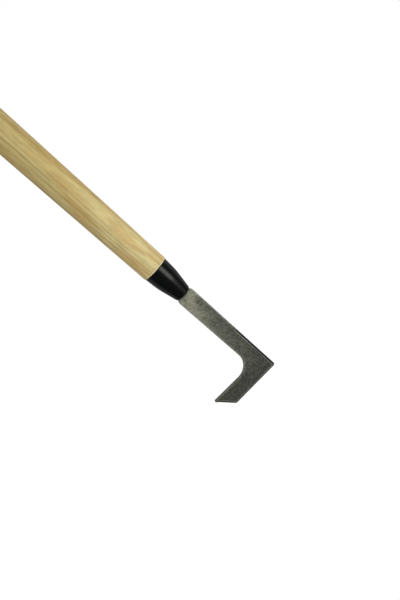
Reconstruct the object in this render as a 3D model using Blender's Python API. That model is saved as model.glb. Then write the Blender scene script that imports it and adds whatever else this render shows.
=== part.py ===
"""Long-handled L-blade patio weeder: ash handle, tapered steel ferrule and flat steel blade on a tang.

Frame: the origin is the centre of the hang hole. +Z runs up the handle to its domed end, so the blade is at
the bottom, as the tool hangs. The blade's flat faces look along +Y and -Y, and its leg points to -X.

Heights below the wood's shoulder, where the handle meets the ferrule, are called drops. A drop is positive
towards the blade, and shoulder_z() turns it into Z.
"""

import math

import bmesh
import bpy
from mathutils import Matrix, Vector

MM = 0.001

# Clearance between pieces that touch on the real tool
FIT_GAP = 0.3 * MM

# Handle: an ash pole with a slight belly, domed at the top and turned down to a tenon at the bottom
HANDLE_LENGTH = 1400 * MM        # dome tip to wood shoulder
SHOULDER_DIAMETER = 28.2 * MM    # at the ferrule
BELLY_DIAMETER = 30.5 * MM       # thickest
BELLY_RISE = 400 * MM            # thickest place, above the wood shoulder
TOP_DIAMETER = 26.6 * MM         # at the domed end
TOP_PARALLEL = 85 * MM           # last stretch, of one diameter, dome included
SHOULDER_CHAMFER = 0.7 * MM
HANG_HOLE_DIAMETER = 9.0 * MM

# Ferrule: a pressed collar that starts nearly parallel, turns at a soft knee and tapers to a rolled lip
FERRULE_LENGTH = 37.0 * MM       # wood shoulder to mouth
FERRULE_TOP_RADIUS = 13.65 * MM
FERRULE_KNEE_DROP = 15.0 * MM
FERRULE_KNEE_RADIUS = 12.9 * MM  # where the two tapers would meet
FERRULE_KNEE_SOFTNESS = 0.5 * MM
FERRULE_LIP_RADIUS = 9.2 * MM    # where the cone meets the rolled lip
FERRULE_LIP_ROUND = 2.8 * MM
FERRULE_WALL = 1.3 * MM
FERRULE_MOUTH_RADIUS = 6.7 * MM  # opening for the tang

# Blade: one flat plate cut as an L, and the tapered tang that is driven into the handle
PLATE_THICKNESS = 4.0 * MM
NECK_WIDTH = 16.4 * MM           # against the ferrule's mouth
ARM_WIDTH_TOP = 18.9 * MM        # below the shoulders
ARM_WIDTH_END = 17.9 * MM        # at the outer corner
SHOULDER_HEIGHT = 2.6 * MM
CORNER_DROP = 158.7 * MM         # outer corner
LEG_LEAN = math.radians(3.5)     # the leg leans back towards the handle
LEG_HEEL_X = -47.7 * MM          # where the outer edge stops
LEG_TIP_X = -61.7 * MM           # where the longer inner edge stops
LEG_WIDTH_ROOT = 18.2 * MM
LEG_WIDTH_TIP = 19.0 * MM
INNER_FILLET = 16.0 * MM
OUTER_CORNER_ROUND = 2.5 * MM
HEEL_ROUND = 2.2 * MM
TIP_ROUND = 1.0 * MM
SHOULDER_ROUND = 1.0 * MM
GROUND_BEVEL = 1.8 * MM
GROUND_START_DROP = 106.0 * MM   # the ground bevel is full from half way down the arm
GROUND_FADE = 10.0 * MM          # and runs out over this length above
GROUND_END_MARGIN = 4.0 * MM     # and stops this far before the tip
TANG_LENGTH = 80.0 * MM
TANG_WIDTH_ROOT = 9.0 * MM
TANG_WIDTH_END = 4.0 * MM
TANG_THICKNESS_END = 2.5 * MM

# Facets
ROUND_SEGMENTS = 36
HOLE_SEGMENTS = 32
DOME_STEPS = 8
BODY_RINGS = 24
LIP_STEPS = 5
FERRULE_KNEE_RINGS = 3.0 * MM    # spacing of the rings at the knee
ARC_STEP = math.radians(12)
SHARP_ANGLE = math.radians(30)

DOME_RADIUS = TOP_DIAMETER / 2
SHOULDER_Z = DOME_RADIUS - HANDLE_LENGTH
FERRULE_LIP_DROP = FERRULE_LENGTH - FERRULE_LIP_ROUND

# Places in the blade's list of corners
SHOULDER_INDEX = 1
TIP_INDEX = 4


def shoulder_z(drop):
    """Height of a place that lies a drop below the wood shoulder."""
    return SHOULDER_Z - drop


def clear_scene():
    """Remove whatever the startup file holds."""
    for obj in list(bpy.data.objects):
        bpy.data.objects.remove(obj, do_unlink=True)


def make_material(name, colour, roughness, metallic):
    """A plain Principled material; colour is linear RGB."""
    material = bpy.data.materials.new(name)
    material.use_nodes = True
    shader = material.node_tree.nodes["Principled BSDF"]
    shader.inputs["Base Color"].default_value = (*colour, 1.0)
    shader.inputs["Roughness"].default_value = roughness
    shader.inputs["Metallic"].default_value = metallic
    material.diffuse_color = (*colour, 1.0)
    return material


def object_from_bmesh(name, shape, material):
    """Turn a bmesh into a named object in the scene, with its faces pointing out."""
    bmesh.ops.recalc_face_normals(shape, faces=shape.faces)
    mesh = bpy.data.meshes.new(name)
    shape.to_mesh(mesh)
    shape.free()
    mesh.shade_smooth()
    mesh.set_sharp_from_angle(angle=SHARP_ANGLE)
    mesh.materials.append(material)
    obj = bpy.data.objects.new(name, mesh)
    bpy.context.collection.objects.link(obj)
    return obj


def turned(name, profile, material, closed=False):
    """Turn a profile of (radius, z) points about Z; closed joins its last point to its first."""
    shape = bmesh.new()
    points = [shape.verts.new((radius, 0.0, z)) for radius, z in profile]
    pairs = list(zip(points, points[1:]))
    if closed:
        pairs.append((points[-1], points[0]))
    edges = [shape.edges.new(pair) for pair in pairs]
    bmesh.ops.spin(
        shape, geom=points + edges, cent=(0, 0, 0), axis=(0, 0, 1),
        angle=math.tau, steps=ROUND_SEGMENTS, use_merge=True,
    )
    bmesh.ops.remove_doubles(shape, verts=shape.verts, dist=0.02 * MM)
    return object_from_bmesh(name, shape, material)


def cut(target, cutter):
    """Cut the cutter's shape out of the target, and keep the cutter as a hidden guide."""
    cutter.hide_render = True
    cutter.display_type = "WIRE"
    cutter.parent = target
    modifier = target.modifiers.new(cutter.name, "BOOLEAN")
    modifier.operation = "DIFFERENCE"
    modifier.solver = "EXACT"
    modifier.object = cutter


def handle_radius(rise):
    """Radius of the pole at a height above the wood shoulder."""
    parallel_rise = HANDLE_LENGTH - TOP_PARALLEL
    if rise >= parallel_rise:
        return TOP_DIAMETER / 2
    if rise < BELLY_RISE:
        away = (BELLY_RISE - rise) / BELLY_RISE
        return (BELLY_DIAMETER - (BELLY_DIAMETER - SHOULDER_DIAMETER) * away**2) / 2
    away = (rise - BELLY_RISE) / (parallel_rise - BELLY_RISE)
    return (BELLY_DIAMETER - (BELLY_DIAMETER - TOP_DIAMETER) * away**3) / 2


def ferrule_outside(drop):
    """Outside radius of the ferrule above its lip: two straight tapers, blended at the knee."""
    below_knee = drop - FERRULE_KNEE_DROP
    collar_slope = (FERRULE_TOP_RADIUS - FERRULE_KNEE_RADIUS) / FERRULE_KNEE_DROP
    cone_slope = (FERRULE_KNEE_RADIUS - FERRULE_LIP_RADIUS) / (FERRULE_LIP_DROP - FERRULE_KNEE_DROP)
    collar = FERRULE_KNEE_RADIUS - below_knee * collar_slope
    cone = FERRULE_KNEE_RADIUS - below_knee * cone_slope
    return (collar + cone - math.hypot(collar - cone, FERRULE_KNEE_SOFTNESS)) / 2


def ferrule_inside(drop):
    """Inside radius of the ferrule above its lip."""
    return ferrule_outside(drop) - FERRULE_WALL


def ferrule_drops():
    """Drops of the ferrule's rings from its top to the start of its lip, with the knee among them."""
    knee_rings = [FERRULE_KNEE_DROP + shift * FERRULE_KNEE_RINGS for shift in (-2, -1, 0, 1, 2)]
    return [FIT_GAP, *knee_rings, FERRULE_LIP_DROP]


def tang_width(rise):
    """Width of the tang at a height above its root, at the ferrule's mouth."""
    return TANG_WIDTH_ROOT + (TANG_WIDTH_END - TANG_WIDTH_ROOT) * rise / TANG_LENGTH


def tang_thickness(rise):
    """Thickness of the tang at a height above its root."""
    return PLATE_THICKNESS + (TANG_THICKNESS_END - PLATE_THICKNESS) * rise / TANG_LENGTH


def tapered_bar(name, z_low, z_high, low_size, high_size):
    """A four-sided bar along Z whose (x, y) size changes from its low to its high end."""
    shape = bmesh.new()
    bmesh.ops.create_cube(shape, size=1.0)
    for vert in shape.verts:
        size, z = (high_size, z_high) if vert.co.z > 0 else (low_size, z_low)
        vert.co = Vector((vert.co.x * size[0], vert.co.y * size[1], z))
    return object_from_bmesh(name, shape, bpy.data.materials["cutter"])


def make_handle(material):
    """The ash pole: dome, bellied body, chamfered shoulder and the tenon inside the ferrule."""
    profile = []
    for step in range(DOME_STEPS + 1):
        angle = math.radians(90) * (1 - step / DOME_STEPS)
        profile.append((DOME_RADIUS * math.cos(angle), DOME_RADIUS * math.sin(angle)))
    rise_below_hole = HANDLE_LENGTH - DOME_RADIUS - HANG_HOLE_DIAMETER
    for ring in range(BODY_RINGS):
        rise = rise_below_hole * (1 - ring / BODY_RINGS)
        profile.append((handle_radius(rise), shoulder_z(-rise)))
    profile.append((handle_radius(SHOULDER_CHAMFER), shoulder_z(-SHOULDER_CHAMFER)))
    profile.append((handle_radius(0) - SHOULDER_CHAMFER, shoulder_z(0)))
    profile.append((ferrule_inside(0) - FIT_GAP, shoulder_z(0)))
    for drop in ferrule_drops()[1:]:
        profile.append((ferrule_inside(drop) - FIT_GAP, shoulder_z(drop)))
    profile.append((0.0, profile[-1][1]))
    handle = turned("handle", profile, material)

    hole = bmesh.new()
    bmesh.ops.create_cone(
        hole, cap_ends=True, segments=HOLE_SEGMENTS, depth=2 * BELLY_DIAMETER,
        radius1=HANG_HOLE_DIAMETER / 2, radius2=HANG_HOLE_DIAMETER / 2,
        matrix=Matrix.Rotation(math.radians(90), 4, "X"),
    )
    cut(handle, object_from_bmesh("hang_hole_cutter", hole, bpy.data.materials["cutter"]))

    clearance = 2 * FIT_GAP
    bottom = -FERRULE_LENGTH - FIT_GAP
    rises = (0.0, TANG_LENGTH + FIT_GAP)
    sizes = [(tang_width(rise) + clearance, tang_thickness(rise) + clearance) for rise in rises]
    heights = [shoulder_z(-(bottom + rise)) for rise in rises]
    cut(handle, tapered_bar("tang_socket_cutter", *heights, *sizes))
    return handle


def make_ferrule(material):
    """The collar: two tapers outside, a rolled lip at the mouth and an even wall inside."""
    profile = [(ferrule_outside(drop), shoulder_z(drop)) for drop in ferrule_drops()]
    lip_centre = profile[-1][0] - FERRULE_LIP_ROUND
    for step in range(1, LIP_STEPS):
        angle = math.radians(90) * step / LIP_STEPS
        drop = FERRULE_LIP_DROP + FERRULE_LIP_ROUND * math.sin(angle)
        profile.append((lip_centre + FERRULE_LIP_ROUND * math.cos(angle), shoulder_z(drop)))
    profile.append((FERRULE_MOUTH_RADIUS, shoulder_z(FERRULE_LENGTH)))
    profile.append((FERRULE_MOUTH_RADIUS, shoulder_z(FERRULE_LIP_DROP + FIT_GAP)))
    for drop in reversed(ferrule_drops()):
        profile.append((ferrule_inside(drop), shoulder_z(drop)))
    return turned("ferrule", profile, material, closed=True)


def rounded_corner(before, corner, after, radius):
    """Points of the arc that rounds a corner between two straight edges."""
    if radius == 0:
        return [corner]
    towards_before = (before - corner).normalized()
    towards_after = (after - corner).normalized()
    half = towards_before.angle(towards_after) / 2
    centre = corner + (towards_before + towards_after).normalized() * radius / math.sin(half)
    start = corner + towards_before * radius / math.tan(half) - centre
    end = corner + towards_after * radius / math.tan(half) - centre
    turn = start.angle_signed(end)
    steps = max(2, round(abs(turn) / ARC_STEP))
    arc = []
    for step in range(steps + 1):
        arc.append(centre + Matrix.Rotation(-turn * step / steps, 2) @ start)
    return arc


def blade_corners():
    """The L's corners as (x, drop), each with its rounding, clockwise from the neck at +X."""
    neck_drop = FERRULE_LENGTH + FIT_GAP
    arm_drop = neck_drop + SHOULDER_HEIGHT
    lean = math.tan(LEG_LEAN)
    corner = Vector((ARM_WIDTH_END / 2, CORNER_DROP))
    heel = Vector((LEG_HEEL_X, CORNER_DROP - (corner.x - LEG_HEEL_X) * lean))
    tip_outer_drop = CORNER_DROP - (corner.x - LEG_TIP_X) * lean
    tip = Vector((LEG_TIP_X, tip_outer_drop - LEG_WIDTH_TIP / math.cos(LEG_LEAN)))
    root_outer_drop = CORNER_DROP - ARM_WIDTH_END * lean
    root = Vector((-ARM_WIDTH_END / 2, root_outer_drop - LEG_WIDTH_ROOT / math.cos(LEG_LEAN)))
    return [
        (Vector((NECK_WIDTH / 2, neck_drop)), 0.0),
        (Vector((ARM_WIDTH_TOP / 2, arm_drop)), SHOULDER_ROUND),
        (corner, OUTER_CORNER_ROUND),
        (heel, HEEL_ROUND),
        (tip, TIP_ROUND),
        (root, INNER_FILLET),
        (Vector((-ARM_WIDTH_TOP / 2, arm_drop)), SHOULDER_ROUND),
        (Vector((-NECK_WIDTH / 2, neck_drop)), 0.0),
    ]


def blade_outline():
    """Outline of the plate as (x, drop) points, and the indices between which its edge is ground."""
    corners = blade_corners()
    outline = []
    ground_first = ground_last = 0
    for index, (corner, radius) in enumerate(corners):
        before = corners[index - 1][0]
        after = corners[(index + 1) % len(corners)][0]
        if index == TIP_INDEX:
            ground_last = len(outline)
            outline.append(corner + (before - corner).normalized() * GROUND_END_MARGIN)
        outline += rounded_corner(before, corner, after, radius)
        if index == SHOULDER_INDEX:
            for drop in (GROUND_START_DROP - GROUND_FADE, GROUND_START_DROP):
                ground_first = len(outline)
                outline.append(corner.lerp(after, (drop - corner.y) / (after.y - corner.y)))
    return outline, ground_first, ground_last


def make_blade(material):
    """The L-shaped plate, ground on its outer edges in front, with the tapered tang above it."""
    outline, ground_first, ground_last = blade_outline()
    front = -PLATE_THICKNESS / 2
    shape = bmesh.new()
    rim = [shape.verts.new((point.x, front, shoulder_z(point.y))) for point in outline]
    neck_z = rim[0].co.z
    root = [shape.verts.new((side * TANG_WIDTH_ROOT / 2, front, neck_z)) for side in (-1, 1)]
    end_z = neck_z + TANG_LENGTH
    end = [shape.verts.new((side * TANG_WIDTH_END / 2, front, end_z)) for side in (1, -1)]
    plate_face = shape.faces.new(rim + root)
    tang_face = shape.faces.new(end + root)
    back = bmesh.ops.extrude_face_region(shape, geom=[plate_face, tang_face])["geom"]
    back_verts = [item for item in back if isinstance(item, bmesh.types.BMVert)]
    bmesh.ops.translate(shape, verts=back_verts, vec=(0, PLATE_THICKNESS, 0))
    for vert in shape.verts:
        if math.isclose(vert.co.z, end_z, abs_tol=FIT_GAP):
            vert.co.y *= TANG_THICKNESS_END / PLATE_THICKNESS

    ground = []
    for index in range(ground_first, ground_last):
        ground.append(shape.edges.get((rim[index], rim[index + 1])))
    bmesh.ops.bevel(
        shape, geom=ground, offset=GROUND_BEVEL, offset_type="OFFSET",
        segments=1, affect="EDGES", clamp_overlap=False,
    )
    return object_from_bmesh("blade", shape, material)


def main():
    """Build the three pieces of the tool."""
    clear_scene()
    make_material("cutter", (0.8, 0.2, 0.2), 0.5, 0.0)
    make_handle(make_material("oiled_ash", (0.55, 0.42, 0.19), 0.45, 0.0))
    make_ferrule(make_material("black_lacquered_steel", (0.008, 0.008, 0.008), 0.22, 0.0))
    make_blade(make_material("hot_rolled_steel", (0.16, 0.16, 0.13), 0.55, 0.6))


main()
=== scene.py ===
"""Long-handled L-blade patio weeder: the finished look of its ash handle, black ferrule and steel blade.

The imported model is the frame. +Z runs up the handle, the blade's flat faces look along +Y and -Y, its leg
points to -X, and the origin is the centre of the hang hole. Heights below the wood's shoulder are called
drops, and heights above it are called rises.
"""

import math

import bmesh
import bpy
from mathutils import Matrix, Quaternion, Vector


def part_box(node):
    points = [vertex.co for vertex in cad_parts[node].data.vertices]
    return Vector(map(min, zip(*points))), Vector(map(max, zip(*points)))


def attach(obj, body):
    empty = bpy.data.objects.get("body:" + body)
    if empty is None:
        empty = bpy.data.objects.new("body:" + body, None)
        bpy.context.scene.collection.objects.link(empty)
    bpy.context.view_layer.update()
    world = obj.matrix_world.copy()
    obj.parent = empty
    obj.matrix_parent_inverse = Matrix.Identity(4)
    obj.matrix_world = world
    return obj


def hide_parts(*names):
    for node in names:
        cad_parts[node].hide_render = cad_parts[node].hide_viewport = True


bl_info = {
    "name": "Patio Weeder",
    "version": (1, 0, 0),
    "blender": (4, 5, 0),
    "location": "3D View > Sidebar > Weeder",
    "description": "Builds a long-handled L-blade patio weeder around its packed frame",
    "category": "Object",
}

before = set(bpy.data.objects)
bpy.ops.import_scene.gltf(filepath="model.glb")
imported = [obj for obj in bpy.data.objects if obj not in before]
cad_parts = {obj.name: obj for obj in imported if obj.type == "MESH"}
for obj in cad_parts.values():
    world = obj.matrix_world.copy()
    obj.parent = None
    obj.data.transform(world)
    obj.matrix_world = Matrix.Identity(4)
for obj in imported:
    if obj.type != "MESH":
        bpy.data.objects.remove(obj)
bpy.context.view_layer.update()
HANDLE_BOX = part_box("handle")
FERRULE_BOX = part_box("ferrule")
BLADE_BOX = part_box("blade")

MM = 0.001
FIT_GAP = 0.3 * MM
SHOULDER_Z = FERRULE_BOX[1].z + FIT_GAP
MOUTH_Z = FERRULE_BOX[0].z
NECK_Z = MOUTH_Z - FIT_GAP

# Mesh fineness
POLE_COLUMNS = 96
POLE_RING_STEP = 5 * MM
DOME_RINGS = 14
EASE_RINGS = 5
BORE_RINGS = 12
TURN_SEGMENTS = 128
ARC_STEP = math.radians(6)
SHARP_ANGLE = math.radians(35)
EDGE_STEP = 3 * MM
LEAST_ROUND = 0.05 * MM
FACE_ACROSS = 10.0  # distance from the outline, in millimetres, that stands for the open face
# Places in the list of the blade's corners
SHOULDER_CORNER = 3
TIP_CORNER = 6

# Roundings of the blade's corners
TANG_END_ROUND = 0.6 * MM
NECK_ROUND = 0.4 * MM
SHOULDER_ROUND = 1.2 * MM
CORNER_ROUND = 2.5 * MM
HEEL_ROUND = 2.2 * MM
TIP_ROUND = 1.0 * MM
# The tang's socket in the handle, as (width, thickness) at its upper end and at the neck
SOCKET_END = (4.6 * MM, 3.1 * MM)
SOCKET_NECK = (9.6 * MM, 4.6 * MM)
TANG_THINNING = 0.35  # share of its thickness that the tang loses by its end


# ---------------------------------------------------------------- settings


def length_property(name, description, default):
    """A distance in metres that a user can change."""
    return bpy.props.FloatProperty(
        name=name, description=description, default=default, min=0.0, precision=4,
        subtype="DISTANCE", unit="LENGTH",
    )


def colour_property(name, description, default):
    """A colour as an sRGB hex word."""
    return bpy.props.StringProperty(name=name, description=description, default=default)


class WEEDER_PG_handle(bpy.types.PropertyGroup):
    """Sizes and colours of the ash handle."""

    shoulder_diameter: length_property(
        "Shoulder diameter", "Thickness where the wood meets the ferrule", 28.2 * MM,
    )
    belly_diameter: length_property("Belly diameter", "Thickness at the thickest place", HANDLE_BOX[1].x * 2)
    belly_rise: length_property("Belly height", "Height of the thickest place above the shoulder", 400 * MM)
    top_diameter: length_property("Top diameter", "Thickness of the domed end", HANDLE_BOX[1].z * 2)
    top_parallel: length_property("Parallel end", "Length of the last stretch of one thickness", 85 * MM)
    shoulder_chamfer: length_property("Shoulder chamfer", "Bevel of the wood at the ferrule", 0.7 * MM)
    hole_diameter: length_property("Hang hole", "Diameter of the hole through the domed end", 9 * MM)
    hole_ease: length_property("Hole easing", "Radius of the rounded rim of the hole", 0.9 * MM)
    waviness: length_property("Waviness", "How far turning leaves the pole uneven", 0.12 * MM)
    ring_spacing: length_property("Ring spacing", "Distance between two growth rings", 3.6 * MM)
    grain_offset: bpy.props.FloatVectorProperty(
        name="Grain offset", description="Moves the wandering of the fibres along the pole",
        default=(0.39, 0.21, 1.23), subtype="TRANSLATION", unit="LENGTH",
    )
    late_wood: colour_property("Late wood", "Pale dense part of a growth ring", "CFC08A")
    early_wood: colour_property("Early wood", "Olive-brown porous part of a growth ring", "A58C55")
    heart_tint: colour_property("Heart tint", "Warm brown patches along the grain", "BE9B5B")
    grip_tint: colour_property("Grip tint", "Darkens the stretch that hands hold", "E6E2D0")
    burnt: colour_property("Burnt mark", "Scorched wood of the leaf mark", "4A3018")
    mark_height: length_property("Mark height", "Length of the burnt leaf along the handle", 35 * MM)
    mark_width: length_property("Mark width", "Width of the burnt leaf", 12 * MM)
    mark_drop: length_property("Mark place", "Distance of the leaf's middle below the hole", 84 * MM)


class WEEDER_PG_ferrule(bpy.types.PropertyGroup):
    """Sizes and colours of the ferrule."""

    top_radius: length_property("Top radius", "Outside radius at the wood", 13.65 * MM)
    knee_drop: length_property("Knee drop", "Where the two tapers would meet, below the wood", 15 * MM)
    knee_radius: length_property("Knee radius", "Outside radius where the tapers would meet", 12.9 * MM)
    knee_softness: length_property("Knee softness", "How wide the two tapers blend", 0.5 * MM)
    lip_radius: length_property("Lip radius", "Outside radius where the lip starts", 9.2 * MM)
    lip_round: length_property("Lip rounding", "Radius of the rolled lip", 2.8 * MM)
    wall: length_property("Wall", "Thickness of the pressed steel", 1.3 * MM)
    mouth_radius: length_property("Mouth radius", "Opening for the tang", 6.7 * MM)
    rim_round: length_property("Rim rounding", "Rounding of the upper rim", 0.35 * MM)
    lacquer: colour_property("Lacquer", "Glossy black stoving lacquer", "0E1010")


class WEEDER_PG_blade(bpy.types.PropertyGroup):
    """Sizes and colours of the blade."""

    thickness: length_property("Thickness", "Thickness of the plate", BLADE_BOX[1].y - BLADE_BOX[0].y)
    neck_width: length_property("Neck width", "Width against the ferrule", 16.4 * MM)
    arm_width_top: length_property("Arm width, top", "Width below the shoulders", 18.9 * MM)
    arm_width_end: length_property("Arm width, end", "Width at the outer corner", 17.9 * MM)
    shoulder_height: length_property("Shoulder height", "Length over which the neck widens", 2.6 * MM)
    leg_lean: bpy.props.FloatProperty(
        name="Leg lean", description="How far the leg leans back towards the handle",
        default=math.radians(3.5), subtype="ANGLE", unit="ROTATION",
    )
    heel_reach: length_property(
        "Heel reach", "Where the leg's outer edge stops, across from the axis", 47.7 * MM,
    )
    tip_reach: length_property(
        "Tip reach", "Where the leg's inner edge stops, across from the axis", 61.7 * MM,
    )
    leg_width_root: length_property("Leg width, root", "Width of the leg at the arm", 18.2 * MM)
    leg_width_tip: length_property("Leg width, tip", "Width of the leg at its end", 19.0 * MM)
    corner_drop: length_property("Corner drop", "Outer corner, below the wood shoulder", 158.7 * MM)
    inner_fillet: length_property("Inner fillet", "Radius between arm and leg", 16 * MM)
    edge_round: length_property(
        "Edge rounding", "Rounding that rolling leaves on the plate's edges", 0.5 * MM,
    )
    ground_width: length_property("Ground bevel", "Width of the bevel on the outer edges", 1.8 * MM)
    ground_drop: length_property("Bevel start", "Where the bevel is full, below the wood shoulder", 106 * MM)
    ground_fade: length_property("Bevel run-out", "Length over which the bevel starts", 12 * MM)
    tang_length: length_property("Tang length", "Length of the hidden tang", 80 * MM)
    tang_width_root: length_property("Tang width, root", "Width of the tang at the neck", 9 * MM)
    tang_width_end: length_property("Tang width, end", "Width of the tang at its end", 4 * MM)
    # These scale colours hold painted light: a painted sheen at the neck and painted shade towards the leg
    scale_neck_painted_sheen: colour_property("Scale at the neck", "Olive-grey rolling scale", "9A9C88")
    scale_middle: colour_property("Scale on the arm", "Rolling scale a little way down", "6E7064")
    scale_lower: colour_property("Scale at the bend", "Darker scale", "5B5D52")
    scale_leg_painted_shade: colour_property("Scale on the leg", "Scale darkened when the leg was hardened", "4F504A")
    scale_deep: colour_property("Scale, patches", "Patches of thick scale", "3C3D37")
    # Also the colour of the painted edge highlight
    bare_steel_and_highlight: colour_property("Bare steel", "Steel where an edge is rubbed clean", "B4B4AC")


class WEEDER_PG_stage(bpy.types.PropertyGroup):
    """Floor, lights and camera."""

    hang_height: length_property("Hang height", "Room between the blade and the floor", 0.3)
    floor_radius: length_property("Floor radius", "Radius of the floor", 14.0)
    camera_distance: length_property("Camera distance", "From the camera to the blade's neck", 0.4394)


# ---------------------------------------------------------------- helpers


def srgb(word, alpha=1.0):
    """Turn an sRGB hex word into a linear RGBA colour."""
    colour = []
    for start in (0, 2, 4):
        value = int(word[start:start + 2], 16) / 255
        colour.append(value / 12.92 if value <= 0.04045 else ((value + 0.055) / 1.055) ** 2.4)
    return (*colour, alpha)


def add_node(tree, kind, inputs=None, stops=None, **settings):
    """Add a node with its settings and links.

    inputs maps a socket's name or index to a value or to another socket. stops are a ramp's
    (position, colour) pairs.
    """
    node = tree.nodes.new(kind)
    for name, value in settings.items():
        setattr(node, name, value)
    for name, value in (inputs or {}).items():
        if isinstance(value, bpy.types.NodeSocket):
            tree.links.new(value, node.inputs[name])
        else:
            node.inputs[name].default_value = value
    if stops:
        elements = node.color_ramp.elements
        while len(elements) < len(stops):
            elements.new(1.0)
        for element, (position, colour) in zip(elements, stops):
            element.position = position
            element.color = colour
    return node


def new_material(name):
    """A material with an empty tree, its shader and its output."""
    material = bpy.data.materials.new(name)
    material.use_nodes = True
    tree = material.node_tree
    tree.nodes.clear()
    shader = add_node(tree, "ShaderNodeBsdfPrincipled")
    add_node(tree, "ShaderNodeOutputMaterial", {"Surface": shader.outputs["BSDF"]})
    return material, tree, shader


def grey(value):
    """An opaque grey."""
    return (value, value, value, 1.0)


def link_mesh(name, shape, material):
    """Turn a bmesh into a shaded object in the scene."""
    mesh = bpy.data.meshes.new(name)
    shape.to_mesh(mesh)
    shape.free()
    mesh.materials.append(material)
    mesh.shade_smooth()
    mesh.set_sharp_from_angle(angle=SHARP_ANGLE)
    piece = bpy.data.objects.new(name, mesh)
    bpy.context.scene.collection.objects.link(piece)
    return piece


def bake_modifiers(piece):
    """Replace a piece's mesh with its evaluated mesh, and remove its modifiers."""
    depsgraph = bpy.context.evaluated_depsgraph_get()
    mesh = bpy.data.meshes.new_from_object(piece.evaluated_get(depsgraph))
    old = piece.data
    piece.modifiers.clear()
    piece.data = mesh
    mesh.name = piece.name
    bpy.data.meshes.remove(old)
    mesh.shade_smooth()
    mesh.set_sharp_from_angle(angle=SHARP_ANGLE)


def bridge(shape, ring_a, ring_b):
    """Join two closed rings of equally many vertices with quads."""
    count = len(ring_a)
    for index in range(count):
        after = (index + 1) % count
        shape.faces.new((ring_a[index], ring_a[after], ring_b[after], ring_b[index]))


def finish_piece(piece, node):
    """Hand a piece over to the frame."""
    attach(piece, "root")
    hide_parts(node)


# ---------------------------------------------------------------- ash handle


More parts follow.
